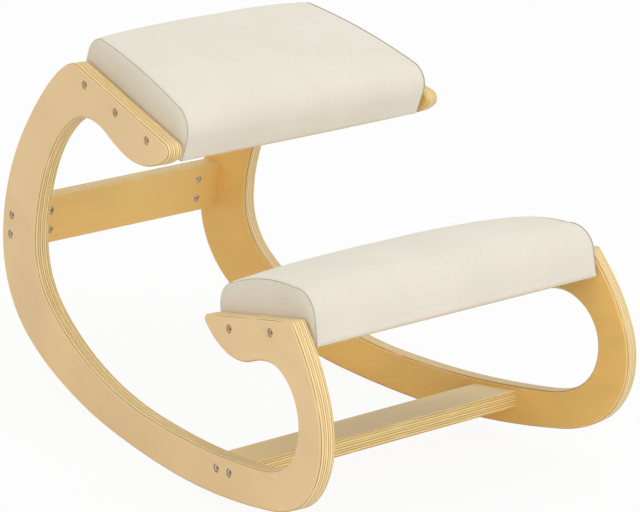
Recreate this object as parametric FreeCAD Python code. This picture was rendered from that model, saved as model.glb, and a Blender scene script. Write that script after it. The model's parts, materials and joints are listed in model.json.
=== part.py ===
import FreeCAD, Part

import math
import os

# Rocking kneeling chair: two one-piece plywood side frames, each sawn as an open C with
# a seat arm at the top and a knee arm at the front, joined by a rear crossbar and a front stretcher.
# An upholstered seat and an upholstered knee rest are bolted between the arms.
#
# Lengths are millimetres. The chair is drawn with X to the sitter's left, Y to the rear from the
# foremost point of the runners, and Z up from their lowest point. A point on a side frame is (u, v):
# u runs rearward in the frame's own plane and v runs up. At the end the chair is tipped back to the
# pose in which it balances on its runners, and stood on Z = 0.

Vector = FreeCAD.Vector

# Side frames
PLY = 22.0
FRONT_WIDTH = 550.0
SPLAY = 8.5
EDGE_BEVEL = 2.5
REST_TIP = 10.4

# Seat arm: its straight top edge starts at the tip and climbs rearward
SEAT_TIP_U = 301.7
SEAT_TIP_V = 402.3
SEAT_SLOPE = 20.0
SEAT_ARM_LENGTH = 189.0
SEAT_TIP_RADIUS = 11.0
SEAT_TIP_TURN = 115.0

# Knee arm: its straight top edge starts at the front corner and falls rearward
KNEE_FRONT_U = 59.5
KNEE_FRONT_V = 236.8
KNEE_SLOPE = 8.1
KNEE_ARM_LENGTH = 162.0
KNEE_TIP_RADIUS = 6.0
KNEE_TIP_TURN = 121.9
KNEE_CORNER_RADIUS = 6.0
KNEE_CORNER_TURN = 64.1

# Outer edge of the C, from the knee corner down the front, along the runner and up the back: places
# (u, v) and the heading in degrees at which the edge passes each of them
OUTER_MARKS = [
    (29, 197, 240), (1, 89, 277), (54, 15.5, 337), (144, 1, 357), (305, 8, 8), (548, 78, 28),
    (633, 153.5, 61), (641, 288.5, 107), (552, 429.5, 135), (510.5, 462, 151),
]

# Inner edge of the C, from the seat arm's belly down the back, along the runner's top, up inside
# the front and back along the knee arm's belly
INNER_MARKS = [
    (326, 370.5, 344), (389, 375, 23), (458, 405.5, 6), (528, 368, 310), (572.5, 273, 283),
    (571, 195, 249), (527, 140.5, 218), (387, 73, 195), (289.5, 56, 187), (131, 49.5, 178),
    (93, 53.5, 166), (49.5, 88.5, 112), (62.5, 161.5, 47), (106.5, 180.5, 356), (156, 170.5, 359),
]

# Cross members between the frames
BAR_WIDTH = 60.0
BAR_THICKNESS = 22.0
BAR_EDGE_ROUND = 2.0
CROSSBAR_U = 633.0
CROSSBAR_V = 246.0
CROSSBAR_TILT = 8.0
STRETCHER_U = 192.5
STRETCHER_V = 32.5

# Bolts, their counterbores and their nuts
BOLT_SHANK = 6.0
BOLT_CLEARANCE = 0.3
BOLT_HEAD = 10.0
BOLT_HEAD_HEIGHT = 5.0
BOLT_SOCKET = 5.0
BOLT_SOCKET_DEPTH = 3.0
COUNTERBORE = 10.8
COUNTERBORE_DEPTH = 7.5
FIT_GAP = 0.05
BOLT_END_GAP = 1.0
BARREL_NUT = 10.0
BARREL_NUT_INSET = 33.0
BARREL_NUT_SLOT = 1.4
BARREL_NUT_RECESS = 1.5
BAR_BOLT_PITCH = 25.0
BAR_BOLT_REACH = 8.0
INSERT_NUT = 10.0
INSERT_NUT_LENGTH = 15.0
ARM_BOLT_DROP = 15.0
SEAT_BOLT_FIRST = 33.0
SEAT_BOLT_PITCH = 68.0
SEAT_BOLT_COUNT = 3
KNEE_BOLT_FIRST = 39.0
KNEE_BOLT_PITCH = 80.0
KNEE_BOLT_COUNT = 2

# Cushions: measured along the arm's top edge (a) and square to it (b)
COVER_WALL = 1.5
SOFT_GAP = 0.3
PANEL_BEVEL = 8.0
PANEL_PULL = 7.0
PUFF = 1.5
CROWN_STEPS = 3
CROWN_POWER = 3
BOARD_THICKNESS = 10.0
RAIL_TOP = -2.0
RAIL_WIDTH = 24.0
HEM_WIDTH = 22.0
DUST_COVER_THICKNESS = 0.8
DUST_COVER_INSET = 10.0
SEAT_FRONT = -6.0
SEAT_REAR = 211.0
SEAT_BOTTOM = -28.0
SEAT_SHOULDER = 33.5
SEAT_ARCH = 4.0
SEAT_FRONT_RADIUS = 30.0
SEAT_REAR_RADIUS = 28.0
SEAT_CROWN = 6.0
KNEE_FRONT = -14.0
KNEE_REAR = 171.0
KNEE_BOTTOM = -34.0
KNEE_SHOULDER = 35.0
KNEE_ARCH = 7.0
KNEE_FRONT_RADIUS = 34.0
KNEE_REAR_RADIUS = 32.0
KNEE_CROWN = 5.0

# How far a cutting shape runs past the face that it opens
OVERCUT = 1.0

splay_sin = math.sin(math.radians(SPLAY))
splay_cos = math.cos(math.radians(SPLAY))
splay_tan = math.tan(math.radians(SPLAY))


def direction(degrees):
    """Unit vector in the (u, v) plane at this heading."""
    return Vector(math.cos(math.radians(degrees)), math.sin(math.radians(degrees)), 0)


def frame_point(u, v, depth=0.0):
    """Point of the right side frame, depth in from its outer face."""
    x = -FRONT_WIDTH / 2 + u * splay_sin + depth * splay_cos
    y = u * splay_cos - depth * splay_sin
    return Vector(x, y, v)


def outside_x(y):
    """X of the right frame's outer face at this Y."""
    return -FRONT_WIDTH / 2 + y * splay_tan


def inside_x(y):
    """X of the right frame's inner face at this Y."""
    return outside_x(y) + PLY / splay_cos


def to_frame(shape):
    """Move a shape drawn in (u, v, depth) onto the right side frame."""
    matrix = FreeCAD.Matrix(
        splay_sin, 0, splay_cos, -FRONT_WIDTH / 2,
        splay_cos, 0, -splay_sin, 0,
        0, 1, 0, 0,
        0, 0, 0, 1)
    placed = shape.copy()
    placed.Placement = FreeCAD.Placement(matrix).multiply(shape.Placement)
    return placed


def mirrored(shape):
    """The same piece on the sitter's left."""
    return shape.mirror(Vector(0, 0, 0), Vector(1, 0, 0))


def both_sides(shapes):
    """Fasteners of the right side and their mirror images, as separate solids in one group."""
    solids = [solid for shape in shapes for solid in shape.Solids]
    return Part.makeCompound(solids + [mirrored(solid) for solid in solids])


class Arm:
    """An arm's straight top edge: a runs rearward along it and b stands square to it."""

    def __init__(self, u, v, heading):
        self.corner = Vector(u, v, 0)
        self.along = direction(heading)
        self.up = direction(heading + 90)

    def at(self, a, b):
        """Point (u, v) at a along the edge and b above it."""
        return self.corner + self.along * a + self.up * b


SEAT_ARM = Arm(SEAT_TIP_U, SEAT_TIP_V, SEAT_SLOPE)
KNEE_ARM = Arm(KNEE_FRONT_U, KNEE_FRONT_V, -KNEE_SLOPE)


def turn_after(start, heading, turn, radius):
    """Left-hand arc that leaves start at this heading, and the point where it ends."""
    centre = start + direction(heading + 90) * radius
    middle = centre + direction(heading - 90 + turn / 2) * radius
    end = centre + direction(heading - 90 + turn) * radius
    return Part.Arc(start, middle, end).toShape(), end


def turn_before(end, heading, turn, radius):
    """Left-hand arc that reaches end at this heading, and the point where it starts."""
    centre = end + direction(heading + 90) * radius
    middle = centre + direction(heading - 90 - turn / 2) * radius
    start = centre + direction(heading - 90 - turn) * radius
    return Part.Arc(start, middle, end).toShape(), start


def arc_leaving(start, heading, end):
    """Arc that leaves start at this heading and passes through end."""
    chord = end - start
    lean = math.remainder(math.radians(heading) - math.atan2(chord.y, chord.x), 2 * math.pi)
    sideways = Vector(-chord.y, chord.x, 0)
    middle = (start + end) * 0.5 + sideways * (math.tan(lean / 2) / 2)
    return Part.Arc(start, middle, end).toShape()


def tangent_arcs(marks):
    """Smooth chain of arcs through the marks, two arcs between each pair of neighbours."""
    arcs = []
    for (u0, v0, heading0), (u1, v1, heading1) in zip(marks, marks[1:]):
        start = Vector(u0, v0, 0)
        end = Vector(u1, v1, 0)
        span = end - start
        both = direction(heading0) + direction(heading1)
        spread = direction(heading0) - direction(heading1)
        reach = span.dot(both)
        arm = span.dot(span) / (reach + math.sqrt(reach ** 2 + spread.dot(spread) * span.dot(span)))
        joint = (start + end + spread * arm) * 0.5
        arcs.append(arc_leaving(start, heading0, joint))
        arcs.append(arc_leaving(end, heading1 + 180, joint))
    return arcs


def frame_outline():
    """Closed outline of a side frame in (u, v), counter-clockwise."""
    seat_heading = 180 + SEAT_SLOPE
    knee_heading = 180 - KNEE_SLOPE
    seat_rear = SEAT_ARM.at(SEAT_ARM_LENGTH, 0)
    seat_front = SEAT_ARM.at(0, 0)
    knee_rear = KNEE_ARM.at(KNEE_ARM_LENGTH, 0)
    knee_front = KNEE_ARM.at(0, 0)
    seat_tip, belly_start = turn_after(seat_front, seat_heading, SEAT_TIP_TURN, SEAT_TIP_RADIUS)
    knee_tip, belly_end = turn_before(knee_rear, knee_heading, KNEE_TIP_TURN, KNEE_TIP_RADIUS)
    corner, shin = turn_after(knee_front, knee_heading, KNEE_CORNER_TURN, KNEE_CORNER_RADIUS)
    inner = [(belly_start.x, belly_start.y, seat_heading + SEAT_TIP_TURN)] + INNER_MARKS
    inner.append((belly_end.x, belly_end.y, knee_heading - KNEE_TIP_TURN))
    outer = [(shin.x, shin.y, knee_heading + KNEE_CORNER_TURN)] + OUTER_MARKS
    outer.append((seat_rear.x, seat_rear.y, seat_heading))
    return Part.Wire([
        Part.LineSegment(seat_rear, seat_front).toShape(),
        seat_tip,
        *tangent_arcs(inner),
        knee_tip,
        Part.LineSegment(knee_rear, knee_front).toShape(),
        corner,
        *tangent_arcs(outer),
    ])


def arm_bolt_places():
    """Bolt places (u, v) of the seat and of the knee rest."""
    seat = [SEAT_ARM.at(SEAT_BOLT_FIRST + i * SEAT_BOLT_PITCH, -ARM_BOLT_DROP)
            for i in range(SEAT_BOLT_COUNT)]
    knee = [KNEE_ARM.at(KNEE_BOLT_FIRST + i * KNEE_BOLT_PITCH, -ARM_BOLT_DROP)
            for i in range(KNEE_BOLT_COUNT)]
    return seat, knee


class Bar:
    """A cross member: its place beside the frame's inner face, and its turn about X."""

    def __init__(self, u, v, turn):
        self.centre = Vector(0, frame_point(u, v, PLY).y, v)
        self.turn = turn

    def place(self, shape):
        """Move a shape drawn about X, with its width along Z, to the bar."""
        moved = shape.copy()
        moved.rotate(Vector(0, 0, 0), Vector(1, 0, 0), self.turn)
        moved.translate(self.centre)
        return moved

    def bolt_axes(self):
        """Points on the axes of the two bolts at each end."""
        angle = math.radians(self.turn)
        across = Vector(0, -math.sin(angle), math.cos(angle)) * (BAR_BOLT_PITCH / 2)
        return [self.centre - across, self.centre + across]

    def facing(self):
        """Outward direction of the wide face that the barrel nuts enter."""
        angle = math.radians(self.turn)
        return Vector(0, -math.cos(angle), -math.sin(angle))


CROSSBAR = Bar(CROSSBAR_U, CROSSBAR_V, CROSSBAR_TILT)
STRETCHER = Bar(STRETCHER_U, STRETCHER_V, 90)


def rod(start, axis, radius, length):
    """Plain round rod."""
    return Part.makeCylinder(radius, length, start, axis)


def nut_centre(axis_point):
    """Where a bar's bolt passes through its barrel nut."""
    x = inside_x(axis_point.y) + BARREL_NUT_INSET
    return Vector(x, axis_point.y, axis_point.z)


def side_frame():
    """Right side frame: plywood C with eased rims and counterbored bolt holes."""
    blank = Part.Face(frame_outline()).extrude(Vector(0, 0, PLY))
    rims = [edge for edge in blank.Edges
            if edge.BoundBox.ZLength < PLY / 2]
    blank = blank.makeChamfer(EDGE_BEVEL, rims)
    seat, knee = arm_bolt_places()
    inward = Vector(0, 0, 1)
    cuts = []
    for place in seat + knee:
        cuts.append(rod(place - inward * OVERCUT, inward, COUNTERBORE / 2,
                        COUNTERBORE_DEPTH + OVERCUT))
        cuts.append(rod(place, inward, BOLT_SHANK / 2 + BOLT_CLEARANCE, PLY + OVERCUT))
    frame = to_frame(blank.cut(cuts))
    cuts = []
    for bar in (CROSSBAR, STRETCHER):
        for point in bar.bolt_axes():
            mouth = Vector(outside_x(point.y), point.y, point.z)
            start = mouth - Vector(PLY, 0, 0)
            sideways = Vector(1, 0, 0)
            cuts.append(rod(start, sideways, COUNTERBORE / 2, PLY + COUNTERBORE_DEPTH))
            cuts.append(rod(mouth, sideways, BOLT_SHANK / 2 + BOLT_CLEARANCE, 2 * PLY))
    return frame.cut(cuts)


def between_frames(bottom, top):
    """Tall prism that fills the room between the frames' inner faces."""
    front = CROSSBAR.centre.y - 2 * FRONT_WIDTH
    rear = CROSSBAR.centre.y + BAR_WIDTH
    corners = [
        Vector(inside_x(front), front, bottom), Vector(-inside_x(front), front, bottom),
        Vector(-inside_x(rear), rear, bottom), Vector(inside_x(rear), rear, bottom),
    ]
    face = Part.Face(Part.makePolygon(corners + corners[:1]))
    return face.extrude(Vector(0, 0, top - bottom))


def cross_member(bar):
    """Board between the frames, with its ends cut to their splay and bored for its bolts."""
    board = Part.makeBox(FRONT_WIDTH, BAR_THICKNESS, BAR_WIDTH,
                         Vector(-FRONT_WIDTH / 2, -BAR_THICKNESS / 2, -BAR_WIDTH / 2))
    arrises = [edge for edge in board.Edges if edge.BoundBox.XLength > FRONT_WIDTH / 2]
    board = bar.place(board.makeFillet(BAR_EDGE_ROUND, arrises))
    board = board.common(between_frames(bar.centre.z - BAR_WIDTH, bar.centre.z + BAR_WIDTH))
    cuts = []
    for point in bar.bolt_axes():
        end = Vector(inside_x(point.y) - PLY, point.y, point.z)
        reach = PLY + BARREL_NUT_INSET + BAR_BOLT_REACH + BOLT_END_GAP
        centre = nut_centre(point)
        mouth = centre + bar.facing() * BAR_THICKNESS
        depth = 2 * BAR_THICKNESS - BAR_THICKNESS / 2 - BARREL_NUT_RECESS
        cuts.append(rod(end, Vector(1, 0, 0), BOLT_SHANK / 2 + BOLT_CLEARANCE, reach))
        cuts.append(rod(mouth, -bar.facing(), BARREL_NUT / 2 + FIT_GAP, depth))
    return board.cut(cuts + [mirrored(cut) for cut in cuts])


def bolt(head_top, axis, length):
    """Hexagon-socket bolt whose head starts at head_top and whose shank runs along axis."""
    seat = head_top + axis * BOLT_HEAD_HEIGHT
    body = rod(head_top, axis, BOLT_HEAD / 2, BOLT_HEAD_HEIGHT)
    body = body.fuse(rod(seat, axis, BOLT_SHANK / 2, length))
    across = Vector(0, 0, 1)
    side = axis.cross(across)
    circle = BOLT_SOCKET / 2 / math.cos(math.pi / 6)
    corners = []
    for i in range(6):
        angle = math.pi / 3 * i
        corners.append(head_top + across * (circle * math.cos(angle)) + side * (circle * math.sin(angle)))
    socket = Part.Face(Part.makePolygon(corners + corners[:1]))
    return body.cut(socket.extrude(axis * BOLT_SOCKET_DEPTH))


def rail_depth():
    """Depth from a frame's outer face to the side rail of a pad."""
    return PLY + (COVER_WALL + 2 * SOFT_GAP) * splay_cos


def arm_bolts(places):
    """Bolts from a frame's outer face into the insert nuts of a pad's side rail."""
    axis = frame_point(0, 0, 1) - frame_point(0, 0, 0)
    length = rail_depth() + INSERT_NUT_LENGTH - BOLT_END_GAP - COUNTERBORE_DEPTH
    head = COUNTERBORE_DEPTH - BOLT_HEAD_HEIGHT
    return [bolt(frame_point(place.x, place.y, head), axis, length) for place in places]


def insert_nuts(places):
    """Threaded inserts, flush in the pad's side rail."""
    inward = Vector(0, 0, 1)
    nuts = []
    for place in places:
        start = place + inward * rail_depth()
        sleeve = rod(start, inward, INSERT_NUT / 2, INSERT_NUT_LENGTH)
        nuts.append(to_frame(sleeve.cut(rod(start, inward, BOLT_SHANK / 2 + FIT_GAP, INSERT_NUT_LENGTH))))
    return nuts


def bar_bolts(bar):
    """Bolts along X from a frame's outer face to the barrel nuts of a cross member."""
    sideways = Vector(1, 0, 0)
    bolts = []
    for point in bar.bolt_axes():
        top = Vector(outside_x(point.y) + COUNTERBORE_DEPTH - BOLT_HEAD_HEIGHT, point.y, point.z)
        end = nut_centre(point).x + BAR_BOLT_REACH
        bolts.append(bolt(top, sideways, end - top.x - BOLT_HEAD_HEIGHT))
    return bolts


def barrel_nuts(bar):
    """Slotted barrel nuts, sunk below the face that they enter."""
    nuts = []
    for point in bar.bolt_axes():
        centre = nut_centre(point)
        length = BAR_THICKNESS - 2 * BARREL_NUT_RECESS
        face = centre + bar.facing() * (length / 2)
        nut = rod(face, -bar.facing(), BARREL_NUT / 2, length)
        nut = nut.cut(rod(centre - Vector(BARREL_NUT, 0, 0), Vector(1, 0, 0), BOLT_SHANK / 2 + FIT_GAP,
                          2 * BARREL_NUT))
        slot = Part.makeBox(2 * BARREL_NUT, 2 * BARREL_NUT_SLOT, BARREL_NUT_SLOT,
                            Vector(-BARREL_NUT, -BARREL_NUT_SLOT, -BARREL_NUT_SLOT / 2))
        slot.rotate(Vector(0, 0, 0), Vector(1, 0, 0), bar.turn)
        slot.translate(face)
        nuts.append(nut.cut(slot))
    return nuts


class Pad:
    """An upholstered pad between the arms. Its side profile is given along (a) and above (b) the
    arm's top edge, and its sides follow the frames' inner faces."""

    def __init__(self, arm, front, rear, bottom, shoulder, arch, front_radius, rear_radius, crown):
        self.arm = arm
        self.front = front
        self.rear = rear
        self.bottom = bottom
        self.shoulder = shoulder
        self.arch = arch
        self.front_radius = front_radius
        self.rear_radius = rear_radius
        self.crown = crown

    def point(self, a, b, share, pull):
        """Point at this share of the half width, pulled in from the frame's inner face."""
        place = self.arm.at(a, b)
        inner = frame_point(place.x, place.y, PLY)
        return Vector(share * (inner.x + pull), inner.y, place.y)

    def section(self, share, pull, inset, grow, lift, bevel=0.0):
        """Closed profile with arcs at its upper corners and a domed top."""
        front = self.front + inset + bevel - grow
        rear = self.rear - inset - bevel + grow
        bottom = self.bottom + inset
        shoulder = self.shoulder - inset - bevel + grow + lift
        front_radius = self.front_radius - inset - bevel
        rear_radius = self.rear_radius - inset - bevel
        bend = 1 - math.cos(math.pi / 4)

        def at(a, b):
            return self.point(a, b, share, pull)

        heel = at(rear, bottom)
        toe = at(front, bottom)
        brow = at(front, shoulder - front_radius)
        brow_mid = at(front + front_radius * bend, shoulder - front_radius * bend)
        top_front = at(front + front_radius, shoulder)
        top_mid = at((front + front_radius + rear - rear_radius) / 2, shoulder + self.arch)
        top_rear = at(rear - rear_radius, shoulder)
        nape_mid = at(rear - rear_radius * bend, shoulder - rear_radius * bend)
        nape = at(rear, shoulder - rear_radius)
        return Part.Wire([
            Part.LineSegment(heel, toe).toShape(),
            Part.LineSegment(toe, brow).toShape(),
            Part.Arc(brow, brow_mid, top_front).toShape(),
            Part.Arc(top_front, top_mid, top_rear).toShape(),
            Part.Arc(top_rear, nape_mid, nape).toShape(),
            Part.LineSegment(nape, heel).toShape(),
        ])

    def form(self, inset):
        """Crowned closed form, inset from the pad's outside. Its side panels stand against the
        frames, and their seams are drawn in."""
        half = [self.section(1, SOFT_GAP + inset, inset, 0, 0, PANEL_BEVEL),
                self.section(1, PANEL_PULL + inset, inset, 0, 0)]
        for step in range(1, CROWN_STEPS + 1):
            share = 1 - step / CROWN_STEPS
            rise = 1 - share ** CROWN_POWER
            pull = PANEL_PULL * share + inset
            half.append(self.section(share, pull, inset, PUFF * rise, self.crown * rise))
        solid = Part.makeLoft(half, True, True)
        return solid.fuse(mirrored(solid))

    def slab(self, inset, low, high, front=0.0, rear=0.0):
        """Flat-sided block between two heights, inset from the pad's outside, and further inset by
        front and rear at those ends."""
        start = self.front + inset + front
        end = self.rear - inset - rear
        layers = []
        for b in (low, high):
            corners = [self.point(start, b, 1, inset), self.point(end, b, 1, inset),
                       self.point(end, b, -1, inset), self.point(start, b, -1, inset)]
            layers.append(Part.makePolygon(corners + corners[:1]))
        return Part.makeLoft(layers, True, True)

    def side_rods(self, places, start, radius, length):
        """Rods square to the frames at the bolt places, on both sides."""
        rods = [to_frame(rod(place + Vector(0, 0, start), Vector(0, 0, 1), radius, length))
                for place in places]
        return rods + [mirrored(shape) for shape in rods]

    def inner_parts(self, places):
        """Foam, board and rails inside the cover."""
        inset = COVER_WALL + SOFT_GAP
        core = self.form(inset)
        board_top = RAIL_TOP + BOARD_THICKNESS
        lid = self.shoulder + self.arch + self.crown + PANEL_BEVEL
        floor = self.bottom + inset
        foam = core.common(self.slab(0, board_top + SOFT_GAP, lid, -PANEL_BEVEL, -PANEL_BEVEL))
        board = core.common(self.slab(0, RAIL_TOP, board_top, -PANEL_BEVEL, -PANEL_BEVEL))
        frame = core.common(self.slab(0, floor, RAIL_TOP, -PANEL_BEVEL, -PANEL_BEVEL))
        low = floor - OVERCUT
        high = RAIL_TOP + OVERCUT
        hollow = self.slab(inset + RAIL_WIDTH, low, high)
        bores = self.side_rods(places, rail_depth() - OVERCUT, INSERT_NUT / 2 + FIT_GAP,
                               INSERT_NUT_LENGTH + OVERCUT)
        ring = frame.cut([hollow] + bores)
        length = self.rear - self.front
        reach = inset + RAIL_WIDTH
        middle = self.slab(-RAIL_WIDTH, low, high, reach + RAIL_WIDTH, reach + RAIL_WIDTH)
        head = self.slab(-RAIL_WIDTH, low, high, 0, length - reach + RAIL_WIDTH)
        tail = self.slab(-RAIL_WIDTH, low, high, length - reach + RAIL_WIDTH, 0)
        right, left = sorted(ring.common(middle).Solids, key=lambda solid: solid.CenterOfMass.x)
        return {
            "foam": foam,
            "board": board,
            "rail_right": right,
            "rail_left": left,
            "rail_front": ring.common(head),
            "rail_rear": ring.common(tail),
        }

    def cover(self, places):
        """Sewn cover: open below inside a turned-under hem, with holes for the bolts."""
        shell = self.form(0).cut(self.form(COVER_WALL))
        mouth = self.slab(HEM_WIDTH, self.bottom - OVERCUT, self.bottom + COVER_WALL + OVERCUT)
        holes = self.side_rods(places, PLY - OVERCUT, BOLT_SHANK / 2 + BOLT_CLEARANCE,
                               PANEL_PULL + OVERCUT)
        return shell.cut([mouth] + holes)

    def dust_cover(self):
        """Thin cloth that closes the underside over the hem."""
        top = self.bottom - SOFT_GAP
        return self.slab(DUST_COVER_INSET, top - DUST_COVER_THICKNESS, top)


SEAT = Pad(SEAT_ARM, SEAT_FRONT, SEAT_REAR, SEAT_BOTTOM, SEAT_SHOULDER, SEAT_ARCH,
           SEAT_FRONT_RADIUS, SEAT_REAR_RADIUS, SEAT_CROWN)
KNEE = Pad(KNEE_ARM, KNEE_FRONT, KNEE_REAR, KNEE_BOTTOM, KNEE_SHOULDER, KNEE_ARCH,
           KNEE_FRONT_RADIUS, KNEE_REAR_RADIUS, KNEE_CROWN)


def chair():
    """Every piece of the chair, as it is drawn."""
    seat_places, knee_places = arm_bolt_places()
    frame = side_frame()
    pieces = {"side_frame_right": frame, "side_frame_left": mirrored(frame)}
    pieces["rear_crossbar"] = cross_member(CROSSBAR)
    pieces["front_stretcher"] = cross_member(STRETCHER)
    for name, pad, places in (("seat", SEAT, seat_places), ("knee", KNEE, knee_places)):
        for part, shape in pad.inner_parts(places).items():
            pieces[name + "_" + part] = shape
        pieces[name + "_cover"] = pad.cover(places)
        pieces[name + "_dust_cover"] = pad.dust_cover()
        pieces[name + "_bolts"] = both_sides(arm_bolts(places))
        pieces[name + "_insert_nuts"] = both_sides(insert_nuts(places))
    for name, bar in (("crossbar", CROSSBAR), ("stretcher", STRETCHER)):
        pieces[name + "_bolts"] = both_sides(bar_bolts(bar))
        pieces[name + "_barrel_nuts"] = both_sides(barrel_nuts(bar))
    return pieces


def stood_up(pieces):
    """The pieces tipped back to the balanced pose and stood on Z = 0, centred on the origin."""
    tipped = {}
    for name, shape in pieces.items():
        tipped[name] = shape.copy()
        tipped[name].rotate(Vector(0, 0, 0), Vector(1, 0, 0), -REST_TIP)
    box = Part.makeCompound(list(tipped.values())).optimalBoundingBox(False, False)
    shift = Vector(-box.Center.x, -box.Center.y, -box.ZMin)
    for shape in tipped.values():
        shape.translate(shift)
    return tipped


def main():
    """Write one STEP file for each piece or group of fasteners."""
    os.makedirs("parts", exist_ok=True)
    for name, shape in stood_up(chair()).items():
        shape.exportStep("parts/" + name + ".step")


main()
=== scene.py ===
"""Looks of a rocking kneeling chair: plywood side frames, cross members, two upholstered pads.

Lengths are metres in the row frame: X to the sitter's left, Y to the rear, Z up from the floor.
"""

import json
import logging
import math
from collections.abc import Callable, Iterable
from dataclasses import dataclass, field
from enum import Enum

import bmesh
import bpy
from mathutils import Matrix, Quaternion, Vector, noise
from mathutils.kdtree import KDTree


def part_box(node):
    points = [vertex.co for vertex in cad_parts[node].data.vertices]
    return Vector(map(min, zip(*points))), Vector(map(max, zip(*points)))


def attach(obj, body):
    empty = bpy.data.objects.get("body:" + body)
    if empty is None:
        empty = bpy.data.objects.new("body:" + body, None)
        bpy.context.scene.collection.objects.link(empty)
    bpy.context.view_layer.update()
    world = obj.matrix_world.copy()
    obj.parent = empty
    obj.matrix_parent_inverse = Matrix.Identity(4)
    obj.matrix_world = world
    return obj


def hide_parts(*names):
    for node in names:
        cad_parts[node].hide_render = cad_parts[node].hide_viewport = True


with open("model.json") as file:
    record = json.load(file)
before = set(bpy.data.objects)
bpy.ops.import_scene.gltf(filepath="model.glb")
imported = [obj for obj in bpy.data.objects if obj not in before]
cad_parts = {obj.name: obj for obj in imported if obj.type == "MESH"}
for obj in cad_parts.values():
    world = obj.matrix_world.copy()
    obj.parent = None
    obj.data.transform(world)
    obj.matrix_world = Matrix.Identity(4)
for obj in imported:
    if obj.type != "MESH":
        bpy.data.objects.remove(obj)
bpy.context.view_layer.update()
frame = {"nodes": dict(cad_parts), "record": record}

LOG = logging.getLogger("kneeling_chair")
MM = 0.001
FULL_TONE = 255.0
Socket = bpy.types.NodeSocket
Place = tuple[float, float]


class Side(Enum):
    """A side of the chair, as its sitter sees it, with the sign of its X."""

    RIGHT = -1
    LEFT = 1

    @property
    def word(self) -> str:
        """The side's name in lower case."""
        return self.name.lower()


@dataclass(frozen=True)
class Tone:
    """A colour as it shows on a screen, from 0 to 255."""

    red: float
    green: float
    blue: float

    def linear(self) -> tuple[float, float, float, float]:
        """The colour for a shader's socket.

        Returns:
            Linear red, green and blue, and full opacity.
        """
        shares = [value / FULL_TONE for value in (self.red, self.green, self.blue)]
        light = [s / 12.92 if s <= 0.04045 else ((s + 0.055) / 1.055) ** 2.4 for s in shares]
        return (light[0], light[1], light[2], 1.0)

    def shaded(self, share: float) -> "Tone":
        """The tone made lighter or darker by a share."""
        return Tone(*(min(FULL_TONE, value * share) for value in (self.red, self.green, self.blue)))


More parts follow.
